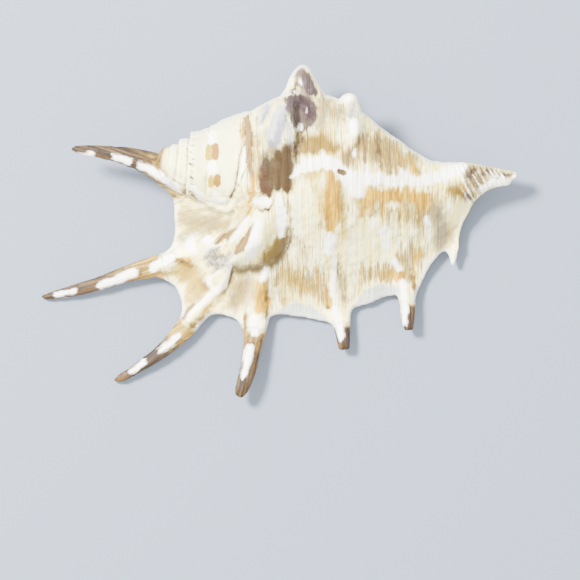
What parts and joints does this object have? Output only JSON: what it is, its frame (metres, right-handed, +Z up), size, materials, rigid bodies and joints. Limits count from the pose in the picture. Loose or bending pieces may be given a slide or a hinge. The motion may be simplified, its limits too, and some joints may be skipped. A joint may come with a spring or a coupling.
{
  "type": "spider conch shell",
  "caption": "Spider conch shell lying on its aperture: coiled body whorl and spire, flared outer lip drawn out into curved digits, pointed siphonal canal and knobbed shoulder.",
  "frame": {"origin": "middle of the outline, on the surface that the shell lies on", "axes": "+X along the coiling axis from the apex to the siphonal canal, +Z up through the back of the shell, -Y towards the flared outer lip"},
  "size_m": [0.1504, 0.1044, 0.0418],
  "materials": {
    "shell": "satin, lightly worn"
  },
  "bodies": {
    "root": {"shell": "shell"}
  },
  "joints": []
}
